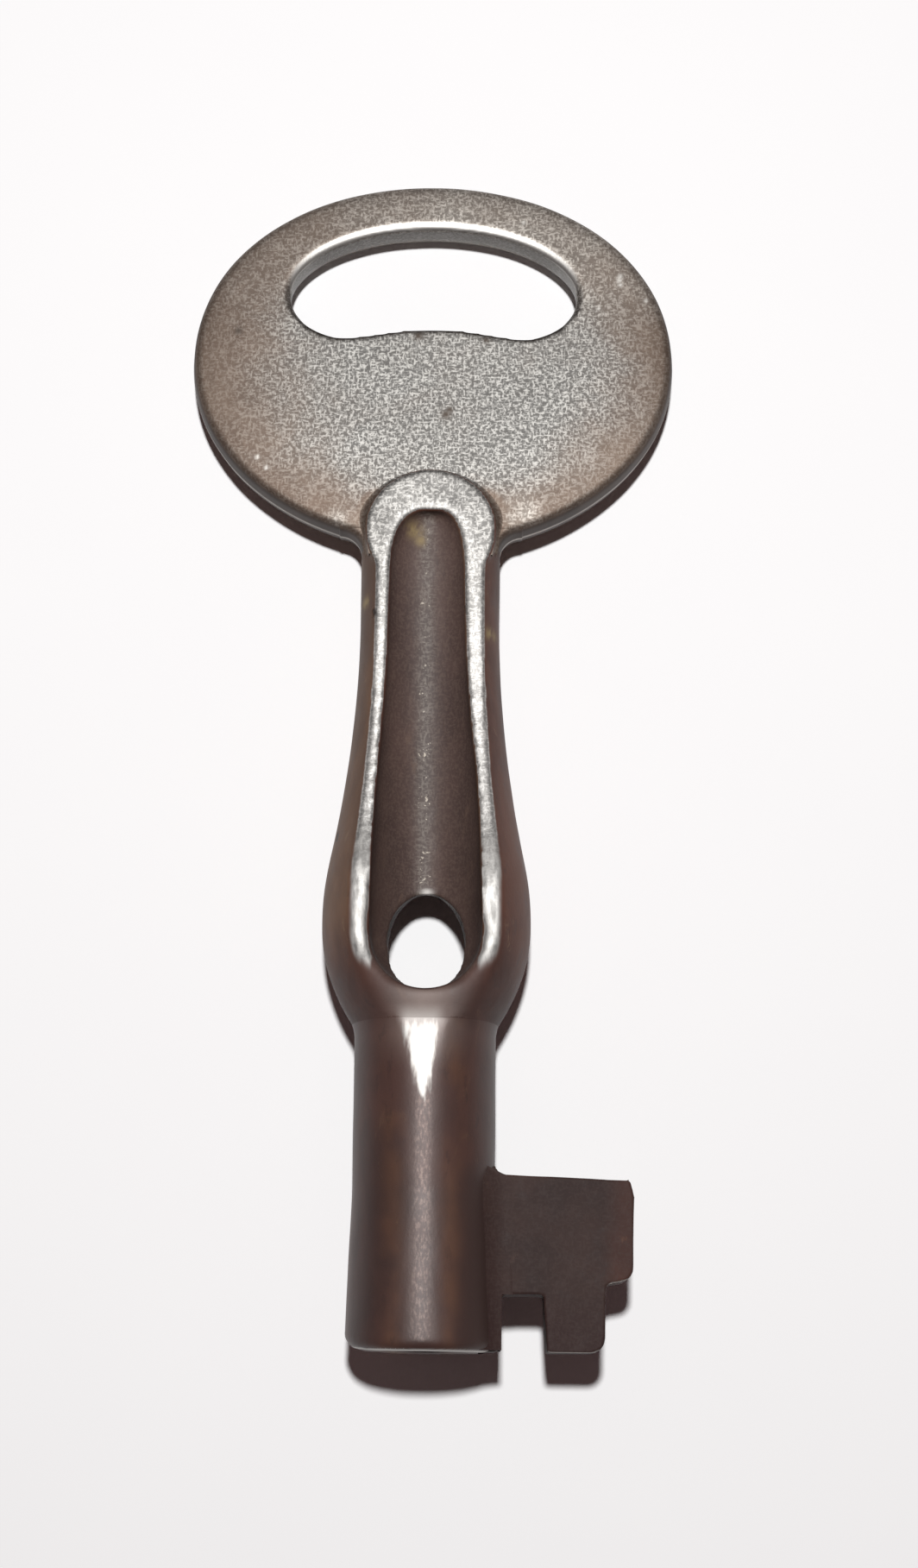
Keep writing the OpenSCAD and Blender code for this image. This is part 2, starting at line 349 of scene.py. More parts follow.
def sums(tree, how, a, b):
    """One step of arithmetic on two values."""
    n = tree.nodes.new("ShaderNodeMath")
    n.operation = how
    feed(tree, a, n.inputs[0])
    feed(tree, b, n.inputs[1])
    return n.outputs["Value"]


def times(tree, a, b):
    """Two values multiplied, such as a mask and its strength."""
    return sums(tree, "MULTIPLY", a, b)


def blend(tree, share, a, b):
    """Mixes two colours by a share."""
    n = tree.nodes.new("ShaderNodeMix")
    n.data_type = "RGBA"
    sockets = {socket.identifier: socket for socket in (*n.inputs, *n.outputs)}
    for label, value in (("Factor_Float", share), ("A_Color", a), ("B_Color", b)):
        feed(tree, value, sockets[label])
    return sockets["Result_Color"]


def coats(tree, colour, layers):
    """Lays coats over a colour one after the other: (share, colour) each."""
    for share, tone in layers:
        colour = blend(tree, share, colour, tone)
    return colour


def stretched(tree, vector, x, y):
    """A place scaled along the two ways of the key's face, so that a noise runs into dashes."""
    n = tree.nodes.new("ShaderNodeMapping")
    n.inputs["Scale"].default_value = (x, y, 1)
    tree.links.new(vector, n.inputs["Vector"])
    return n.outputs["Vector"]


def new_group(name, inputs, outputs):
    """Starts a node group with named sockets, and returns its tree, what it is given and what it gives."""
    tree = bpy.data.node_groups.new(name, "ShaderNodeTree")
    for way, sockets in (("INPUT", inputs), ("OUTPUT", outputs)):
        for label, kind in sockets.items():
            tree.interface.new_socket(label, in_out=way, socket_type="NodeSocket" + kind)
    return tree, tree.nodes.new("NodeGroupInput").outputs, tree.nodes.new("NodeGroupOutput").inputs


def steel_grain_group():
    """Fine grain of worn steel: a height and a mask of bright flecks."""
    tree, given, result = new_group(
        "steel_grain", {"Vector": "Vector"}, {"Height": "Float", "Flecks": "Float"})
    vector = given["Vector"]
    fine_scale, broad_scale, dash = 8500, 900, 0.45
    across = noise(tree, stretched(tree, vector, dash, 1), fine_scale)
    along = noise(tree, stretched(tree, vector, 1, dash), fine_scale)
    fine = sums(tree, "MAXIMUM", across, along)
    broad = noise(tree, vector, broad_scale)
    feed(tree, sums(tree, "ADD", fine, times(tree, broad, 0.4)), result["Height"])
    feed(tree, between(tree, fine, 0.46, 0.7), result["Flecks"])
    return tree


def patina_group():
    """Brown rust patina in three tones, and how uneven it is."""
    tree, given, result = new_group(
        "patina", {"Vector": "Vector", "Brown": "Color", "Dark": "Color", "Tan": "Color"},
        {"Color": "Color", "Unevenness": "Float"})
    vector = given["Vector"]
    clouds = noise(tree, vector, 260, 4, 0.6, 0.3)
    spots = noise(tree, vector, 1500, 3, 0.6)
    flecks = noise(tree, vector, 700, 5, 0.7, 0.8)
    tone = blend(tree, between(tree, clouds, 0.35, 0.68), given["Dark"], given["Brown"])
    tone = coats(tree, tone, ((between(tree, flecks, 0.6, 0.74, 0.0, 0.7), given["Tan"]),
                              (between(tree, spots, 0.42, 0.3, 0.0, 0.55), given["Dark"])))
    feed(tree, tone, result["Color"])
    feed(tree, spots, result["Unevenness"])
    return tree


def nicks_group():
    """Sparse pits and short knocks, as a mask, over a share of the face."""
    tree, given, result = new_group("nicks", {"Vector": "Vector", "Share": "Float"}, {"Mask": "Float"})
    cells = tree.nodes.new("ShaderNodeTexVoronoi")
    cells.inputs["Scale"].default_value = 620
    feed(tree, stretched(tree, given["Vector"], 1, 0.55), cells.inputs["Vector"])
    red = tree.nodes.new("ShaderNodeSeparateColor")
    feed(tree, cells.outputs["Color"], red.inputs["Color"])
    chosen = sums(tree, "LESS_THAN", red.outputs["Red"], given["Share"])
    frayed = times(tree, noise(tree, given["Vector"], 4200), 0.16)
    ragged = sums(tree, "ADD", cells.outputs["Distance"], frayed)
    feed(tree, times(tree, between(tree, ragged, 0.24, 0.16), chosen), result["Mask"])
    return tree


steel_grain = steel_grain_group()
patina = patina_group()
nicks = nicks_group()


def start_finish(name):
    """Starts a material, and returns its tree, its shader and its object coordinates."""
    finish = bpy.data.materials.new(name)
    finish.use_nodes = True
    tree = finish.node_tree
    place = tree.nodes.new("ShaderNodeTexCoord")
    return finish, tree, tree.nodes["Principled BSDF"], place.outputs["Object"]


def use_group(tree, group, vector, **values):
    """Sets a node group into a material, and returns what it gives."""
    n = tree.nodes.new("ShaderNodeGroup")
    n.node_tree = group
    for label, value in {"Vector": vector, **values}.items():
        feed(tree, value, n.inputs[label])
    return n.outputs


def tarnish(tree, vector, brown, dark, tan):
    """Patina in three tones of a metal's own."""
    return use_group(tree, patina, vector, Brown=brown, Dark=dark, Tan=tan)


def set_shader(tree, shader, colour, metal, rough, gloss, heights):
    """Feeds the shader, and its normal from heights, each with its depth in micrometres."""
    for label, value in (("Base Color", colour), ("Metallic", metal), ("Roughness", rough),
                         ("Specular IOR Level", gloss)):
        feed(tree, value, shader.inputs[label])
    normal = None
    for height, depth in heights:
        n = tree.nodes.new("ShaderNodeBump")
        n.inputs["Distance"].default_value = depth * 1e-6
        feed(tree, height, n.inputs["Height"])
        if normal:
            feed(tree, normal, n.inputs["Normal"])
        normal = n.outputs["Normal"]
    feed(tree, normal, shader.inputs["Normal"])


def coat(piece, finish):
    """Gives the piece one finish all over."""
    piece.data.materials.clear()
    piece.data.materials.append(finish)


bow_finish, tree, shader, place = start_finish("worn_bow_steel")
grain = use_group(tree, steel_grain, place)
rust = tarnish(tree, place, (0.155, 0.114, 0.088), (0.122, 0.087, 0.067), (0.22, 0.168, 0.13))
wall_rust = tarnish(tree, place, (0.075, 0.052, 0.042), (0.045, 0.033, 0.028), (0.11, 0.08, 0.062))
pits = use_group(tree, nicks, place, Share=0.05)
drift = noise(tree, place, 190, 4, 0.6, 0.4)
filmed = between(tree, sums(tree, "ADD", "brown", times(tree, drift, 1.1)), 0.45, 1.45)
steel = blend(tree, grain["Flecks"], (0.115, 0.111, 0.105), (0.43, 0.42, 0.395))
film = blend(tree, times(tree, grain["Flecks"], 0.6), rust["Color"], (0.27, 0.226, 0.19))
pale = blend(tree, grain["Flecks"], (0.22, 0.2, 0.178), (0.58, 0.545, 0.495))
slot_grey = blend(tree, grain["Flecks"], (0.14, 0.13, 0.12), (0.24, 0.23, 0.22))
colour = coats(tree, blend(tree, filmed, steel, film), (
    # Painted sheen: the paler steel laid on the bow's top and the spots beside the neck.
    (times(tree, "bright", between(tree, drift, 0.3, 0.65, 1.0, 0.55)), pale),
    ("polish", (0.50, 0.485, 0.46)),
    ("slot_wall", slot_grey),
    ("wall", wall_rust["Color"]),
    (times(tree, "ridge", between(tree, drift, 0.3, 0.6, 0.5, 1.0)), (0.58, 0.55, 0.51)),
    (sums(tree, "MAXIMUM", pits["Mask"], "specks"), (0.07, 0.055, 0.045)),
    ("scuffs", (0.62, 0.6, 0.56))))
covered = sums(tree, "ADD", times(tree, filmed, 0.36), times(tree, "wall", 0.5))
covered = sums(tree, "SUBTRACT", covered, "ridge")
unpolished = sums(tree, "SUBTRACT", rust["Unevenness"], "polish")
metal = between(tree, covered, 0.0, 1.0, 0.92, 0.05)
rough = between(tree, unpolished, -0.5, 0.7, 0.44, 0.55)
set_shader(tree, shader, colour, metal, rough, gloss=0.35,
           heights=((grain["Height"], 5), (pits["Mask"], -30)))
coat(bow_plate, bow_finish)
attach(bow_plate, "root")
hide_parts("bow")


# The shank: a turned steel stem that swells to a collar, with its front and back filed flat and a
# long flute milled in each. The bore comes up from below and breaks into the flutes as a window.
# Its forked head laps the bow, and its spigot stands in the barrel.
neck_r, neck_y = 3.72, 38.3
tongue_r, tongue_y, tongue_foot_y, tongue_squash = 3.5, 42.915, 41.5, 0.945
collar_r, collar_y, collar_depth, shoulder_y = 5.46, 21.8, 0.07, 16.6
neck_flat, collar_flat, shoulder_flat = 2.42, 4.1, 3.5
barrel_r, mouth_r, mouth_y, flare_l, mouth_round = 3.66, 3.91, 0.025, 8.0, 0.45
bore_r, drill_tip_y = 2.2, 23.53
spigot_r, spigot_y, facet_y = 2.9, 12.0, 12.3
drill_end = ((20.8, bore_r), (21.4, 2.17), (21.9, 2.05), (22.45, 1.76), (22.75, 1.52), (23.0, 1.26),
             (23.25, 0.93), (23.4, 0.66), (23.5, 0.38), (drill_tip_y, 0.15))
flute_run = ((23.0, 2.84, 0.22, -0.03), (26.0, 2.76, 0.45, -0.03), (28.0, 2.66, 0.6, -0.04),
             (30.0, 2.52, 0.75, -0.05), (32.1, 2.34, 0.9, -0.09), (34.3, 2.18, 1.04, -0.11),
             (36.5, 2.07, 1.18, -0.13), (38.7, 2.01, 1.3, -0.15), (40.9, 1.97, 1.41, -0.16),
             (41.9, 1.88, 1.43, -0.15), (42.55, 1.74, 1.45, -0.13), (42.9, 1.62, 1.47, -0.11),
             (43.2, 1.47, 1.49, -0.08), (43.45, 1.3, 1.51, -0.05), (43.62, 1.13, 1.54, -0.03),
             (43.76, 0.92, 1.6, -0.01), (43.85, 0.7, 1.7, 0.0), (43.9, 0.45, 1.85, 0.0))


def swell(y, neck, collar, shoulder):
    """Half a width of the shank at a height, hollow below the neck and round at the collar."""
    if y < collar_y:
        return collar - (collar - shoulder) * ((collar_y - y) / (collar_y - shoulder_y)) ** 2
    t = max(0.0, (neck_y - y) / (neck_y - collar_y))
    hollow = 0.78
    return neck + (collar - neck) * (t * t / hollow if t < hollow else 1 - (1 - t) ** 2 / (1 - hollow))


def flat_at(y):
    """Height of the filed front face over the axis."""
    if y < shoulder_y:
        run = max(0.0, (y - facet_y) / (shoulder_y - facet_y))
        return barrel_r - (barrel_r - shoulder_flat) * run ** 1.4
    return swell(y, neck_flat, collar_flat, shoulder_flat)


def turned(name, rings, points=128):
    """A shape pulled ring by ring along the key: (height, half width, lift, depth, shift) each."""
    y, wide, z, deep, x = rings[0]
    shape = round_plate(name, points, wide, (x, y, z), (math.radians(-90), 0, 0))
    to_edit(shape, "FACE")
    stretch(1, 1, deep / wide, (x, y, z))
    for next_y, next_wide, next_z, next_deep, next_x in rings[1:]:
        pull(next_x - x, next_y - y, next_z - z)
        stretch(next_wide / wide, 1, next_deep / deep, (next_x, next_y, next_z))
        y, wide, z, deep, x = next_y, next_wide, next_z, next_deep, next_x
    turn_out()
    to_object()
    return shape


def round_rings(rings):
    """Rings that are round and on the axis, from (height, radius) each."""
    return [(y, r, 0, r, 0) for y, r in rings]


def steps(low, high, count):
    """Even steps from low to high, with both ends."""
    return [low + (high - low) * i / count for i in range(count + 1)]


def arc(centre, radius, angles):
    """Points of an arc, at angles in degrees."""
    return [(centre[0] + radius * math.cos(math.radians(a)), centre[1] + radius * math.sin(math.radians(a)))
            for a in angles]


mouth_arc = [(mouth_y + mouth_round - mouth_round * math.cos(math.radians(a)),
              mouth_r - mouth_round + mouth_round * math.sin(math.radians(a))) for a in steps(0, 90, 5)]
rings = round_rings(mouth_arc + [(flare_l, barrel_r), (shoulder_y - 0.5, barrel_r)])
for y in steps(shoulder_y, neck_y, 40):
    wide = swell(y, neck_r, collar_r, barrel_r + 0.1)
    rings.append((y, wide, 0, wide * (1 + collar_depth * swell(y, 0, 1, 0)), 0))
rings += round_rings([(y, r) for r, y in arc((0, tongue_y), neck_r, steps(0, 86, 12))])
bar = turned("bar", rings)
to_edit(bar)
mouth_wear = (-1.5, 0.03), (-2.2, 0.04), (-2.8, 0.05), (-3.2, 0.07), (-3.5, 0.09), (-3.7, 0.1)
for wear_x, lift in mouth_wear:
    pick(bar, lambda p: p.y < 1 and p.x < wear_x)
    shift(0, lift, 0)
to_object()

tongue = round_plate("tongue", 128, tongue_r, (0, tongue_y, -neck_flat))
to_edit(tongue, "FACE")
pull(0, 0, 2 * neck_flat)
take_all("VERT")
pick(tongue, lambda p: p.y > tongue_y)
stretch(1, tongue_squash, 1, (0, tongue_y, 0))
to_object()
cut(bar, tongue, "UNION")


def sheet(name, size):
    """Adds a square sheet at the frame's origin, its side in millimetres."""
    bpy.ops.object.select_all(action="DESELECT")
    bpy.ops.mesh.primitive_plane_add(size=size * mm, location=(0, 0, 0))
    plate = bpy.context.object
    plate.name = plate.data.name = name
    return plate


def filed_face():
    """The metal that is filed off the front: a strip that follows the flat, pulled up into a block."""
    half_w, filed_depth = 7, 6
    block = sheet("filed_face", 2 * half_w)
    heights = ([facet_y - 2] + steps(facet_y, shoulder_y, 8) + steps(shoulder_y, neck_y, 24)[1:]
               + [tongue_y + neck_r + 1])
    to_edit(block)
    pick(block, lambda p: p.y > 0)
    bpy.ops.mesh.delete(type="VERT")
    take_all()
    shift(0, heights[0] + half_w, flat_at(heights[0]))
    for y, next_y in zip(heights, heights[1:]):
        pull(0, next_y - y, flat_at(next_y) - flat_at(y))
    take_all()
    pull(0, 0, filed_depth)
    turn_out()
    to_object()
    return block


def flute_cutter():
    """The flute's hollow: a ball end over the window, then a trough that narrows and rises to the bow."""
    ball_y, ball_r, ball_z = 20.95, 2.85, 3.05
    clear_z, widening, middle_x = 4, 1.06, -0.08
    path = [(ball_y - ball_r * math.sin(math.radians(a)), ball_r * math.cos(math.radians(a)), ball_z,
             ball_r * math.cos(math.radians(a)), 0.0) for a in (85, 72, 58, 44, 30, 15, 0)]
    for y, wide, floor, aside in flute_run:
        lift = flat_at(y) + 0.02
        path.append((y, wide, lift, lift - floor, aside))
    cutter = turned("flute_cutter", path, 64)
    to_edit(cutter)
    middle = [(y, z) for y, wide, z, deep, x in path]
    pick(cutter, lambda p: p.z > min(middle, key=lambda ring: abs(ring[0] - p.y))[1] - 0.001)
    shift(0, 0, clear_z)
    stretch(widening, 1, 1, (middle_x, 0, 0))
    to_object()
    return cutter


def copy_of(piece):
    """A copy of the piece with a mesh of its own."""
    choose(piece)
    bpy.ops.object.duplicate()
    return bpy.context.object


def both_faces(shape):
    """The shape, and the same mirrored onto the back as a second one."""
    twin = copy_of(shape)
    to_edit(twin, "FACE")
    stretch(1, 1, -1, (0, 0, 0))
    turn_out()
    to_object()
    return shape, twin


for cutter in (*both_faces(filed_face()), *both_faces(flute_cutter())):
    cut(bar, cutter)
cut(bar, turned("drill", round_rings([(-1, bore_r), *drill_end]), 96))
wear_down(bar, grain=0.13, rounds=7)
to_edit(bar)
collar_foot_wear = (21.4, 5), (21.0, 6), (20.6, 8), (20.2, 10), (19.6, 14)
for top_y, rounds in collar_foot_wear:
    pick(bar, lambda p: 16.9 < p.y < top_y and abs(p.z) > 2.5 and abs(p.x) < 3.9)
    rub(rounds)
pick(bar, lambda p: 11.8 < p.y < 17.4 and abs(p.z) > 3.0 and abs(p.x) < 1.9)
rub(9)
pick(bar, lambda p: 19.5 < p.y < 41 and 0.45 * flat_at(p.y) < abs(p.z) and abs(p.x) > 2.9)
rub(6)
to_object()
dent(bar, span=3.5, depth=0.05)

fluted_shank, barrel_tube = bar, copy_of(bar)
fluted_shank.name = fluted_shank.data.name = "fluted_shank"
barrel_tube.name = barrel_tube.data.name = "barrel_tube"


def shank_room(radius):
    """All that lies on the shank's side of the joint, for a spigot of a radius."""
    outer_r, top_y, step = 9, 50, 0.0001
    return turned("shank_room", round_rings([(spigot_y, radius), (shoulder_y, radius),
                                             (shoulder_y + step, outer_r), (top_y, outer_r)]), 96)


def smooth_shade():
    """Shades the chosen piece smooth, but for its sharp edges."""
    bpy.ops.object.shade_smooth_by_angle(angle=math.radians(40))


cut(fluted_shank, shank_room(spigot_r), "INTERSECT", "MANIFOLD")
bow_room = round_plate("bow_room", bow_points, bow_w / 2, (0, bow_y, -bow_t / 2))
to_edit(bow_room, "FACE")
stretch(1, bow_h / bow_w, 1, (0, bow_y, 0))
pull(0, 0, bow_t)
to_object()
cut(fluted_shank, bow_room, "DIFFERENCE", "MANIFOLD")
smooth_shade()

gold_marks = ((-0.85, 43.0, 0.42), (-0.55, 42.5, 0.3), (-3.4, 39.0, 0.3), (3.2, 37.2, 0.3))
glint_marks = ((-0.2, 35.6, 0.35), (-0.4, 34.1, 0.4), (-0.2, 31.0, 0.4), (-0.1, 25.6, 0.5),
               (-0.1, 24.4, 0.5), (-0.4, 39.0, 0.4), (-0.2, 33.0, 0.3), (-0.2, 28.4, 0.5))
dull_y, flute_end_y = 25.3, 42.2


def below_flat(p):
    """How deep a point lies under the filed face."""
    return flat_at(p.y) - abs(p.z)


def flute_side(p):
    """How far a point lies inside the flute's edge, in plan."""
    for (y, wide, _, aside), (next_y, next_wide, _, _) in zip(flute_run, flute_run[1:]):
        if p.y < next_y:
            t = max(0.0, (p.y - y) / (next_y - y))
            return wide + (next_wide - wide) * t - abs(p.x - aside)
    return -1.0


def facet_side(p):
    """How far a point lies inside the pointed outline of the facet on the barrel, in plan."""
    run = max(0.0, (p.y - facet_y + 0.1) / (shoulder_y - facet_y))
    return 0.92 * run ** 0.8 - abs(p.x + 0.2 * min(1.0, run))


def on_rails(p, n):
    """The filed flats beside the flute and the top of the tongue, where hands rub the steel bare."""
    out = -flute_side(p)
    if p.y > tongue_foot_y:
        return ease(0.72, 0.95, abs(n.z)) * ease(1.7, 2.05, abs(p.z)) * ease(-0.25, -0.1, out)
    flat = (1 - ease(0.3, 0.8, below_flat(p))) * ease(0.7, 0.92, abs(n.z)) * ease(-0.2, -0.05, out)
    soft_edge = 1 - ease(0.5, 1.2, out) * (1 - ease(23, 26, p.y))
    dull_place = 1 - 0.5 * math.exp(-(p.y - dull_y) ** 2)
    return flat * soft_edge * dull_place * ease(18.7 + 0.6 * out, 20.2 + 0.6 * out, p.y)


def in_flute(p, n):
    """The flute's hollow, inside its edge."""
    return ease(-0.05, 0.12, flute_side(p)) * ease(0.03, 0.2, below_flat(p)) * ease(18.0, 19.0, p.y)


def over_facet(p, n):
    """The place over the facet's top, which gets a painted highlight."""
    return ease(-0.4, 0.4, facet_side(p)) * ease(0.5, 0.8, abs(n.z))


def on_crest(p, n):
    """The highest line of the collar's foot and the barrel, on the front and the back."""
    return math.exp(-(p.x / 1.5) ** 2) * ease(0.6, 0.85, abs(n.z))


paint(
    fluted_shank,
    worn=on_rails,
    flute=in_flute,
    # Painted sheen: the middle of the rails gets a paler steel, where the lamp's highlight on them falls off.
    middle=lambda p, n: ease(25.8, 27.5, p.y) * (1 - ease(36.5, 38.5, p.y)),
    smooth=lambda p, n: 1 - ease(23, 28, p.y),
    # A painted highlight on the flute's floor at the top of the window.
    lip=lambda p, n: math.exp(-(p.x / 0.28) ** 2 - ((p.y - drill_tip_y - 0.07) / 0.16) ** 2) * in_flute(p, n),
    # Painted sheen: a paler stripe along the middle of the flute's floor.
    stripe=lambda p, n: math.exp(-((p.x + 0.2) / 0.42) ** 2) * in_flute(p, n),
    satin=lambda p, n: ease(2.0, 2.5, math.hypot(p.x, p.y - flute_end_y)) * ease(40.0, 43.0, p.y),
    gold=lambda p, n: front_marks(p, gold_marks),
    glints=lambda p, n: near_places(p, glint_marks) * in_flute(p, n),
    left=lambda p, n: ease(0.2, 0.8, -n.x) * ease(18, 23, p.y),
    low=lambda p, n: 1 - ease(17.0, 21.5, p.y),
    # Painted highlight over the facet's top, and painted sheen along the crest under the window.
    facet_top=lambda p, n: (1 - ease(16.5, 17.4, p.y)) * over_facet(p, n),
    crest=lambda p, n: (1 - ease(17.5, 19.0, p.y)) * on_crest(p, n))

barrel_browns = (0.076, 0.037, 0.030), (0.046, 0.026, 0.023), (0.105, 0.058, 0.041)
pit_black = (0.03, 0.02, 0.016)


def facet_coats(tree, rust):
    """Coats of painted sheen round the facet's top, on the shank and the barrel alike."""
    light = blend(tree, rust["Unevenness"], (0.22, 0.166, 0.145), (0.32, 0.255, 0.23))
    return (times(tree, "crest", 0.85), light), (times(tree, "facet_top", 0.8), (0.52, 0.48, 0.45))


shank_finish, tree, shader, place = start_finish("fluted_shank_steel")
grain = use_group(tree, steel_grain, place)
streaks = stretched(tree, place, 1, 0.45)
rust = tarnish(tree, streaks, (0.122, 0.053, 0.036), (0.066, 0.030, 0.023), (0.19, 0.114, 0.073))
tan = tarnish(tree, streaks, (0.155, 0.083, 0.047), (0.092, 0.050, 0.032), (0.235, 0.155, 0.09))
deep = tarnish(tree, streaks, (0.097, 0.060, 0.051), (0.066, 0.042, 0.037), (0.128, 0.082, 0.062))
dark = tarnish(tree, streaks, *barrel_browns)
pits = use_group(tree, nicks, place, Share=0.16)
bare = times(tree, "worn", between(tree, noise(tree, place, 420, 4, 0.65, 0.3), 0.25, 0.45, 0.55, 1.0))
# Painted glints: pale flecks at the listed places and along the flute's painted sheen.
glints = sums(tree, "ADD", times(tree, "glints", 0.15), times(tree, "stripe", 0.17))
glints = between(tree, sums(tree, "ADD", noise(tree, place, 6400, 1), glints), 0.84, 0.95, 0.0, 0.55)
file_lines = between(tree, noise(tree, stretched(tree, place, 1, 0.25), 3600, 3), 0.36, 0.6)
steel = coats(tree, blend(tree, grain["Flecks"], (0.23, 0.223, 0.213), (0.44, 0.43, 0.41)), (
    # Painted sheen on the middle of the rails.
    ("middle", blend(tree, grain["Flecks"], (0.36, 0.35, 0.335), (0.62, 0.605, 0.58))),
    ("smooth", blend(tree, file_lines, (0.24, 0.233, 0.223), (0.42, 0.41, 0.392))),
    ("satin", blend(tree, grain["Flecks"], (0.145, 0.14, 0.133), (0.38, 0.37, 0.35)))))
colour = coats(tree, blend(tree, "left", rust["Color"], tan["Color"]), (
    ("low", dark["Color"]),
    *facet_coats(tree, rust),
    ("flute", deep["Color"]),
    # Painted sheen along the flute's middle, with its pale flecks.
    (times(tree, "stripe", 0.4), (0.10, 0.088, 0.08)),
    (times(tree, grain["Flecks"], times(tree, "flute", 0.25)), (0.19, 0.135, 0.105)),
    (times(tree, grain["Flecks"], times(tree, "stripe", 0.5)), (0.25, 0.225, 0.2)),
    (times(tree, "gold", between(tree, rust["Unevenness"], 0.4, 0.6)), (0.26, 0.19, 0.09)),
    (between(tree, bare, 0.0, 0.55), steel),
    (glints, (0.55, 0.50, 0.42)),
    # The painted highlight at the window's top.
    ("lip", (0.86, 0.83, 0.79)),
    (pits["Mask"], pit_black)))
shine = sums(tree, "MAXIMUM", bare, glints)
uneven = sums(tree, "SUBTRACT", rust["Unevenness"], times(tree, bare, 0.25))
metal = between(tree, shine, 0.1, 1.0, 0.05, 0.95)
rough = between(tree, uneven, 0.1, 0.6, 0.49, 0.59)
set_shader(tree, shader, colour, metal, rough, gloss=0.35,
           heights=((grain["Height"], 7), (rust["Unevenness"], 9), (pits["Mask"], -40)))
coat(fluted_shank, shank_finish)
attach(fluted_shank, "root")
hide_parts("shank")


# The barrel: a drilled steel tube, slipped over the shank's spigot up to the shoulder and brazed.
# Its mouth flares a little and is worn round, and the facets that the collar's flats run out on
# are rubbed bright. The rest is smooth brown patina.
root_x, bit_h, bit_t = 2.85, 8.95, 3.2
braze_gap, seat_depth, seat_below = 0.1, 6, 2


def box(low, high):
    """Adds a block between two corners, in millimetres."""
    bpy.ops.object.select_all(action="DESELECT")
    bpy.ops.mesh.primitive_cube_add(size=mm, location=[(a + b) / 2 * mm for a, b in zip(low, high)])
    block = bpy.context.object
    block.scale = [b - a for a, b in zip(low, high)]
    bpy.ops.object.transform_apply(location=True, rotation=True, scale=True)
    return block


cut(barrel_tube, shank_room(spigot_r + braze_gap), "DIFFERENCE", "MANIFOLD")
bit_seat = box((root_x, -seat_below, -bit_t / 2), (root_x + seat_depth, bit_h, bit_t / 2))
cut(barrel_tube, bit_seat, "DIFFERENCE", "MANIFOLD")
smooth_shade()

paint(
    barrel_tube,
    worn=lambda p, n: (ease(-0.35, 0.35, facet_side(p)) * ease(0.9, 0.97, abs(n.z)) * ease(11.9, 12.8, p.y)
                       * (1 - 0.8 * ease(15.9, shoulder_y, p.y))),
    # Painted highlight over the facet's top, where it meets the shank.
    facet_top=lambda p, n: ease(15.6, shoulder_y, p.y) * over_facet(p, n),
    # Partly rubbed bare and partly painted sheen: a greyer stripe along the barrel's top.
    stripe=lambda p, n: ease(0.98, 1.0, abs(n.z)) * (1 - ease(12.3, 14.0, p.y)),
    # Painted sheen along the barrel's crest near the shoulder.
    crest=lambda p, n: ease(13.8, 16.5, p.y) * on_crest(p, n),
    shade=lambda p, n: ease(1.0, 2.7, p.x) * (1 - ease(8.4, 10.0, p.y)),
    warm=lambda p, n: math.exp(-((abs(p.x) - 1.5) / 0.6) ** 2),
    rim=lambda p, n: (ease(0.8, 0.93, -n.y) * (1 - ease(0.5, 0.9, p.y))
                      * ease(3.2, 3.5, math.hypot(p.x, p.z))))

barrel_finish, tree, shader, place = start_finish("brown_barrel_steel")
grain = use_group(tree, steel_grain, place)
streaks = stretched(tree, place, 1, 0.45)
rust = tarnish(tree, streaks, *barrel_browns)
warm = tarnish(tree, streaks, (0.125, 0.058, 0.034), (0.075, 0.037, 0.026), (0.16, 0.092, 0.05))
pits = use_group(tree, nicks, place, Share=0.06)
scratches = noise(tree, stretched(tree, place, 1, 0.16), 3800, 3, 0.6)
speckle = noise(tree, stretched(tree, place, 1, 0.4), 8000, 3, 0.65)
bare = between(tree, sums(tree, "ADD", "worn", times(tree, scratches, 1.7)), 0.98, 1.75)
bare = times(tree, bare, between(tree, "worn", 0.02, 0.2))
# The stripe along the barrel's top: rubbed steel, with a painted sheen.
rubbed = times(tree, "stripe", between(tree, speckle, 0.4, 0.68, 0.1, 0.6))
shine = sums(tree, "MAXIMUM", bare, "rim")
warmth = times(tree, "warm", between(tree, noise(tree, place, 210, 3, 0.6), 0.4, 0.65))
colour = coats(tree, blend(tree, warmth, rust["Color"], warm["Color"]), (
    ("shade", (0.054, 0.032, 0.028)),
    *facet_coats(tree, rust),
    (rubbed, (0.13, 0.11, 0.10)),
    (shine, (0.46, 0.45, 0.43)),
    (pits["Mask"], pit_black)))
metal = between(tree, sums(tree, "MAXIMUM", shine, rubbed), 0.0, 1.0, 0.1, 1.0)
rough = between(tree, sums(tree, "ADD", rust["Unevenness"], shine), 0.3, 1.5, 0.45, 0.56)
set_shader(tree, shader, colour, metal, rough, gloss=0.45,
           heights=((grain["Height"], 4), (rust["Unevenness"], 6), (pits["Mask"], -30)))
coat(barrel_tube, barrel_finish)
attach(barrel_tube, "root")
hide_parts("barrel")


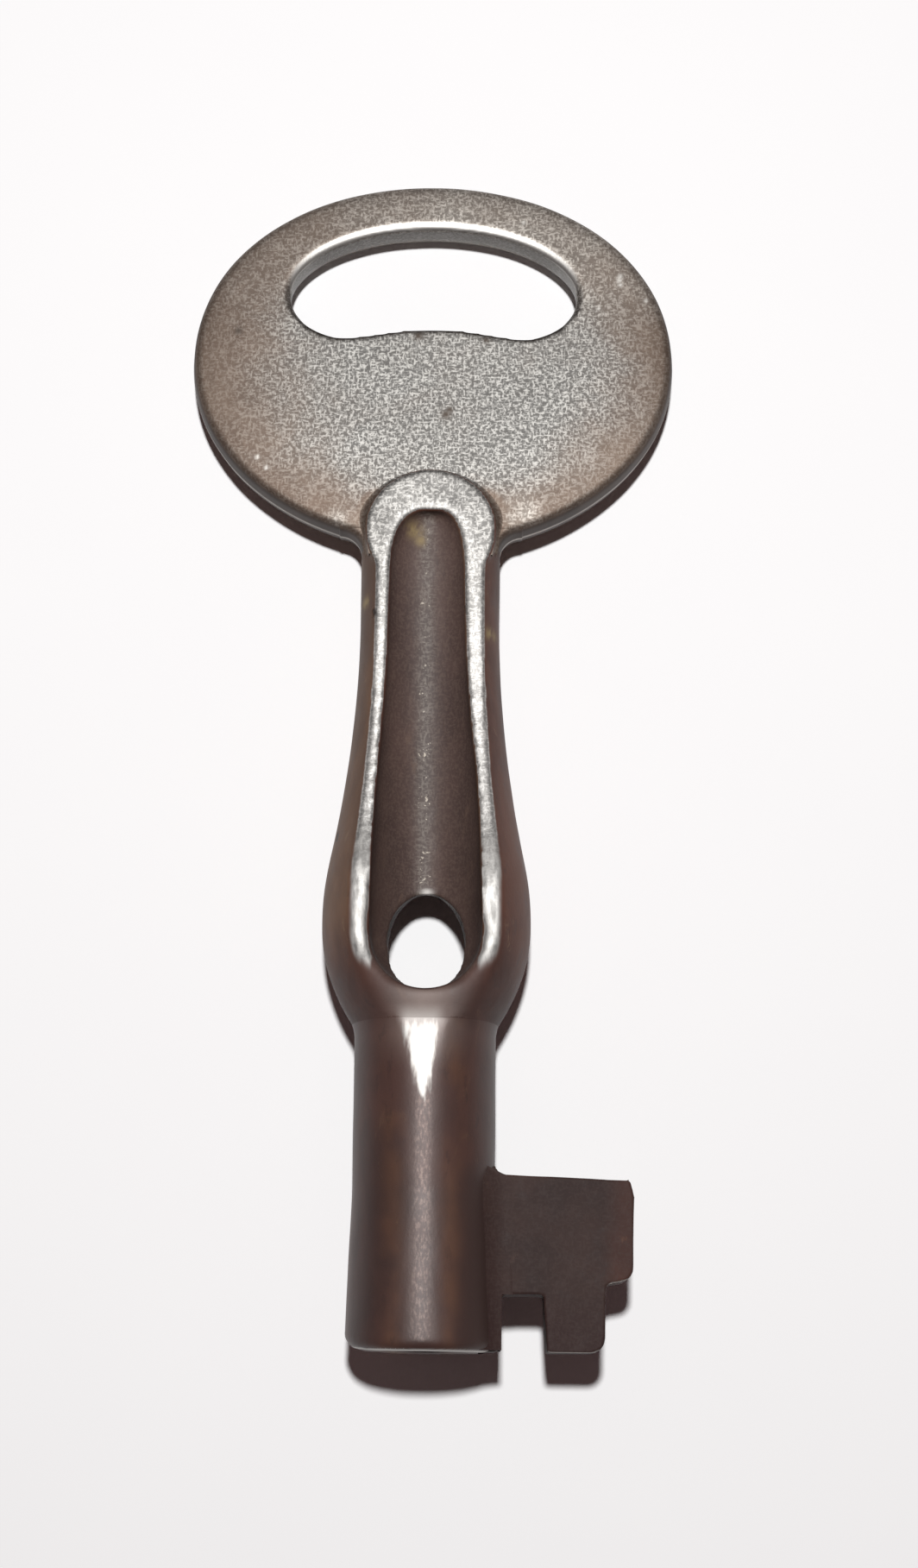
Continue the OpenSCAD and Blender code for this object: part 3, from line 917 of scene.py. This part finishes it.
# The bit: a flat steel plate let into the barrel's wall, with a ward notch beside the barrel,
# a tooth and an outer step. It is filed by hand, matt and dark, with redder edges.
notch_x, tooth_x, step_x, reach_x = 4.01, 6.11, 9.21, 10.7
notch_h, step_h, bend_h, bit_drop = 2.9, 3.6, 6.2, 0.3
bit_corners = ((tooth_x, 0, 0.18, 0.04, 0.1), (step_x, 0, 0, 0.04, 0.75), (step_x, step_h, 0.05, -0.15, 0.12),
               (reach_x, step_h, -0.08, 0.1, 0.55), (reach_x, bend_h, 0, 0, 1.6),
               (reach_x, bit_h, -0.2, -bit_drop, 0.12), (notch_x, 0, 0, 0.1, 0.4), (root_x, 0, 0, 0.1, 0.05))


def score(place, across):
    """Scores the piece in edit mode along a line through a place in millimetres."""
    take_all()
    bpy.ops.mesh.bisect(plane_co=Vector(place) * mm, plane_no=across, threshold=1e-7)


ward_bit = sheet("ward_bit", 1)
to_edit(ward_bit)
stretch(reach_x - root_x, bit_h, 1, (0, 0, 0))
shift((reach_x + root_x) / 2, bit_h / 2, -bit_t / 2)
for x in (notch_x, tooth_x, step_x):
    score((x, 0, 0), (1, 0, 0))
for y in (notch_h, step_h):
    score((0, y, 0), (0, 1, 0))
bpy.ops.mesh.select_mode(type="FACE")
pick(ward_bit, lambda p: (notch_x < p.x < tooth_x and p.y < notch_h) or (p.x > step_x and p.y < step_h),
     faces=True)
bpy.ops.mesh.delete(type="FACE")
take_all("VERT")
bpy.ops.mesh.dissolve_limited(angle_limit=math.radians(1))
score((0, bend_h, 0), (0, 1, 0))
for corner_x, corner_y, move_x, move_y, rounding in bit_corners:
    pick(ward_bit, lambda p: abs(p.x - corner_x) < 0.01 and abs(p.y - corner_y) < 0.01)
    shift(move_x, move_y, 0)
    bpy.ops.mesh.bevel(offset=rounding * mm, segments=6, affect="VERTICES")
take_all("FACE")
pull(0, 0, bit_t)
turn_out()
to_object()
break_edges(ward_bit, width=0.18, segments=3, angle=40)
wear_down(ward_bit, grain=0.1, rounds=3)
dent(ward_bit, span=2.5, depth=0.06)


def low_on_bit(p, n):
    """The tooth and the lower part of the bit, which are darker."""
    return 1 - ease(1.0, 3.6, p.y)


paint(
    ward_bit,
    edge=lambda p, n: max((1 - ease(0.5, 0.98, abs(n.z))) * 0.5, ease(8.9, 10.3, p.x)),
    tooth=low_on_bit,
    rim=lambda p, n: ease(0.6, 0.8, -n.y) * ease(0.2, 0.4, abs(n.z)) if p.x > tooth_x else 0.0)

bit_finish, tree, shader, place = start_finish("filed_bit_steel")
grain = use_group(tree, steel_grain, place)
rust = tarnish(tree, place, (0.048, 0.027, 0.023), (0.034, 0.020, 0.018), (0.066, 0.038, 0.031))
warm = tarnish(tree, place, (0.095, 0.038, 0.026), (0.056, 0.026, 0.021), (0.12, 0.055, 0.033))
pits = use_group(tree, nicks, place, Share=0.05)
colour = coats(tree, blend(tree, "edge", rust["Color"], warm["Color"]), (
    ("tooth", (0.035, 0.018, 0.0165)),
    (times(tree, grain["Flecks"], 0.25), (0.075, 0.052, 0.046)),
    (pits["Mask"], (0.02, 0.014, 0.012)),
    ("rim", (0.34, 0.32, 0.30))))
metal = between(tree, "rim", 0.0, 1.0, 0.0, 0.9)
rough = between(tree, sums(tree, "SUBTRACT", rust["Unevenness"], "rim"), -0.6, 0.6, 0.3, 0.68)
set_shader(tree, shader, colour, metal, rough, gloss=0.2,
           heights=((grain["Height"], 4), (rust["Unevenness"], 6), (pits["Mask"], -25)))
coat(ward_bit, bit_finish)
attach(ward_bit, "root")
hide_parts("bit")


# The bow's filler: brass run into the fork between the bow and the shank's head.
# It shows as soft fillets round the tongues and in the corners under the bow, worn and browned
# like the plate beside it.
corner_r, corner_half_t, corner_x, corner_y = 1.2, 1.12, 4.92, 41.91
inner_x, outer_x, low_y, high_y = 3.1, 4.95, 41.6, 43.9
rim_insets = ((-1.5, 0.9), (-1.12, 0.52), (-1.093, 0.37), (-1.015, 0.25), (-0.9, 0.165), (-0.76, 0.1),
              (0.0, 0.0), (0.76, 0.1), (0.9, 0.165), (1.015, 0.25), (1.093, 0.37), (1.12, 0.52), (1.5, 0.9))
tail_taper = (44.3, 0.95), (44.0, 0.92), (43.7, 0.88), (43.45, 0.84), (43.2, 0.8), (42.95, 0.7)


def section_face(section, y, side):
    """Adds a flat section across the key at a height, from its (x, z) points, on the front or the back."""
    bead = sheet("bead", 1)
    to_edit(bead)
    pick(bead, lambda p: p.x > 0 or p.y > 0)
    bpy.ops.mesh.delete(type="VERT")
    take_all()
    x, z = section[0]
    shift(x + 0.5, y + 0.5, side * z)
    for next_x, next_z in section[1:]:
        pull(next_x - x, 0, side * (next_z - z))
        x, z = next_x, next_z
    take_all()
    bpy.ops.mesh.edge_face_add()
    take_all("FACE")
    return bead


def close_bead():
    """Merges the bead's doubles and turns its faces outwards."""
    take_all()
    bpy.ops.mesh.remove_doubles(threshold=1e-6)
    turn_out()
    to_object()
    smooth_shade()


def tongue_fillet(side):
    """Filler round the tongue on one face of the bow: a hollow section spun round the tongue."""
    wall, inside, hollow_x, hollow_z = tongue_r - 0.1, 0.3, 0.64, 0.9
    foot_z, face_z, tail, lean, top_squash = 1.2, 1.29, 0.7, 0.9, 0.9
    section = [(wall - inside, foot_z), (wall - inside, face_z + 0.01 + hollow_z)]
    section += [(wall + hollow_x * (1 + x), face_z + hollow_z * (1 + z))
                for x, z in arc((0, 0), 1, steps(180, 270, 8))]
    section += [(wall + hollow_x, foot_z)]
    bead = section_face(section, tongue_y - 2 * tail, side)
    stretch(lean, 1, 1, (0, 0, 0))
    pull(0, tail, 0)
    stretch(1 / lean, 1, 1, (0, 0, 0))
    pull(0, tail, 0)
    bpy.ops.mesh.spin(steps=48, angle=math.radians(-180), center=(0, tongue_y * mm, 0), axis=(0, 0, 1))
    pull(0, -tail, 0)
    pull(0, -tail, 0)
    stretch(lean, 1, 1, (0, 0, 0))
    take_all("VERT")
    pick(bead, lambda p: p.y > tongue_y + 0.01)
    stretch(1, top_squash, 1, (0, tongue_y, 0))
    for hand in (1, -1):
        for top_y, share in tail_taper:
            pick(bead, lambda p: hand * p.x > 0 and p.y < top_y)
            stretch(share, 1, 1, (hand * wall, 0, 0))
    close_bead()
    return bead


def corner_fillet(low, high, centre, section, half_t):
    """Filler in a corner: a small block with a round taken out of it, of the radius given at each height."""
    block = box((*low, -half_t), (*high, half_t))
    z, radius = section[0]
    hollow = round_plate("hollow", 64, radius, (*centre, z))
    to_edit(hollow, "FACE")
    for next_z, next_radius in section[1:]:
        pull(0, 0, next_z - z)
        stretch(next_radius / radius, next_radius / radius, 1, (*centre, 0))
        z, radius = next_z, next_radius
    turn_out()
    to_object()
    cut(block, hollow)
    wear_down(block, grain=0.07, rounds=2)
    return block


def run_together(name, blobs, finish):
    """Joins the blobs of filler into one piece with its finish."""
    bpy.ops.object.select_all(action="DESELECT")
    for blob in blobs:
        blob.select_set(True)
    bpy.context.view_layer.objects.active = blobs[0]
    bpy.ops.object.join()
    piece = bpy.context.object
    piece.name = piece.data.name = name
    coat(piece, finish)
    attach(piece, "root")
    return piece


def no_mask(p, n):
    """For a mask of the finish that the filler doesn't show."""
    return 0.0


rim_section = [(z, corner_r + inset) for z, inset in rim_insets]
bow_filler = run_together("bow_filler", [
    tongue_fillet(1), tongue_fillet(-1),
    corner_fillet((inner_x, low_y), (outer_x, high_y), (corner_x, corner_y), rim_section, corner_half_t),
    corner_fillet((-outer_x, low_y), (-inner_x, high_y), (-corner_x, corner_y), rim_section, corner_half_t)],
    bow_finish)
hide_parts("bow_braze")
paint(
    bow_filler,
    brown=lambda p, n: 1 - ease(*neck_fade, p.y),
    wall=lambda p, n: on_wall(n) * (1 - ease(1.13, 1.2, abs(p.z))),
    ridge=on_ridge,
    **dict.fromkeys(("slot_wall", "polish", "bright", "specks", "scuffs"), no_mask))


# The barrel's filler: a thin sleeve of brass between the spigot and the barrel.
# It is drawn in by heat, and nothing of it shows outside the joint.
brass_finish, tree, shader, place = start_finish("dull_brass_filler")
rust = tarnish(tree, place, (0.23, 0.16, 0.075), (0.15, 0.10, 0.05), (0.30, 0.23, 0.12))
rough = between(tree, rust["Unevenness"], 0.3, 0.7, 0.44, 0.54)
set_shader(tree, shader, rust["Color"], 0.8, rough, gloss=0.5, heights=((rust["Unevenness"], 8),))
coat(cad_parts["barrel_braze"], brass_finish)


# The bit's filler: brass run in round the bit's root.
# It shows as a hollow fillet along each face and a small round in the corner above, as dark as the bit.
strip_x, strip_y, strip_l, strip_end_x = 2.6, 9.5, 8.75, 4.6
foot_z, face_z, back_z = 1.35, 1.5, 2.2
hollow_x, hollow_z, hollow_r = 4.477, 3.877, 2.292
tip_x, tip_share, tip_run = -0.35, 0.4, ((0.25, -0.3, 0.55), (0.1, -0.25, 0.75), (0, -0.2, 1.0))
foot_x, foot_lift, foot_out = 0.21, 0.15, 0.02
clear_x, clear_y, clear_z = 3, 2, 4
above_low, above_x, above_y, above_r, above_half_t = (3.0, 8.6), 4.21, 9.5, 0.57, 1.5
above_taper = (8.9, 0.9), (9.05, 0.85), (9.2, 0.75), (9.35, 0.55)


def root_fillet(side):
    """Filler along the bit's root, hollow between the barrel's side and the bit's face."""
    section = [(strip_x, foot_z), (strip_x, back_z)]
    section += arc((hollow_x, hollow_z), hollow_r, steps(221, 270, 12))
    section += [(strip_end_x, face_z), (strip_end_x, foot_z)]
    strip = section_face(section, strip_y, side)
    share = tip_share
    stretch(share, 1, 1, (strip_x, 0, 0))
    shift(tip_x, 0, 0)
    for pull_x, pull_y, next_share in tip_run:
        pull(pull_x, pull_y, 0)
        stretch(next_share / share, 1, 1, (strip_x, 0, 0))
        share = next_share
    pull(foot_x, foot_lift - strip_l, side * foot_out)
    close_bead()
    cut(strip, box((notch_x, -clear_y, -clear_z), (notch_x + clear_x, notch_h, clear_z)))
    smooth_shade()
    return strip


bit_filler = run_together("bit_filler", [
    root_fillet(1), root_fillet(-1),
    corner_fillet(above_low, (above_x, above_y), (above_x, above_y),
                  [(z, above_r) for z in (-5, -1.6, -0.5, 0.5, 1.6, 5)], above_half_t)], bit_finish)
to_edit(bit_filler)
for from_y, share in above_taper:
    pick(bit_filler, lambda p: p.y > from_y and abs(p.z) < above_half_t + 0.05)
    stretch(1, 1, share, (0, 0, 0))
to_object()
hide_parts("bit_braze")
paint(bit_filler, edge=no_mask, rim=no_mask, tooth=low_on_bit)


# The table and the light: a plain white sheet under the key, which lies on its collar and the far
# rim of its bow, one soft lamp above, a dim room round it, and the camera leaning over the barrel's end.
lie, table_w = math.radians(4.03), 900
touches = Vector((0, collar_y, -collar_flat)) * mm
table = sheet("table", table_w)
table.matrix_world = Matrix.Translation(touches) @ Matrix.Rotation(lie, 4, "X")
table_finish, tree, shader, place = start_finish("white_sheet")
white = blend(tree, noise(tree, place, 90, 3), (0.985, 0.985, 0.99), (1.0, 1.0, 1.0))
feed(tree, white, shader.inputs["Base Color"])
shader.inputs["Roughness"].default_value = 0.8
geometry = tree.nodes.new("ShaderNodeNewGeometry")
clear = tree.nodes.new("ShaderNodeBsdfTransparent")
either = tree.nodes.new("ShaderNodeMixShader")
feed(tree, geometry.outputs["Backfacing"], either.inputs["Fac"])
feed(tree, shader.outputs["BSDF"], either.inputs[1])
feed(tree, clear.outputs["BSDF"], either.inputs[2])
feed(tree, either.outputs["Shader"], tree.nodes["Material Output"].inputs["Surface"])
coat(table, table_finish)

lamp_data = bpy.data.lights.new("lamp", "AREA")
lamp_data.shape = "DISK"
lamp_data.size = 0.016
lamp_data.energy = 0.62
lamp = bpy.data.objects.new("lamp", lamp_data)
bpy.context.scene.collection.objects.link(lamp)
aim = Vector((1.5, 30, 0)) * mm
lamp.location = Vector((1.5, 57, 255)) * mm
lamp.rotation_euler = (aim - lamp.location).to_track_quat("-Z", "Y").to_euler()

room = bpy.data.worlds.new("room")
bpy.context.scene.world = room
room.use_nodes = True
glow = room.node_tree.nodes["Background"]
glow.inputs["Color"].default_value = (1.0, 0.66, 0.65, 1)
glow.inputs["Strength"].default_value = 0.057

focal_px, picture_px, sensor = 3220.7, 1817, 36
camera_data = bpy.data.cameras.new("camera")
camera_data.sensor_width = sensor
camera_data.lens = focal_px / picture_px * sensor
camera_data.clip_start = 0.005
camera = bpy.data.objects.new("camera", camera_data)
bpy.context.scene.collection.objects.link(camera)
eye = Vector((1.63, -3, 143.33)) * mm
tilt, roll = math.radians(12.782), math.radians(0.529)
back = Vector((0, -math.sin(tilt), math.cos(tilt)))
up = Vector((0, math.cos(tilt), math.sin(tilt)))
side = Vector((1, 0, 0))
right = side * math.cos(roll) + up * math.sin(roll)
top = up * math.cos(roll) - side * math.sin(roll)
turn = Matrix((right, top, back)).transposed().to_4x4()
camera.matrix_world = Matrix.Translation(eye) @ turn
bpy.context.scene.camera = camera
bpy.context.scene.view_settings.view_transform = "Standard"
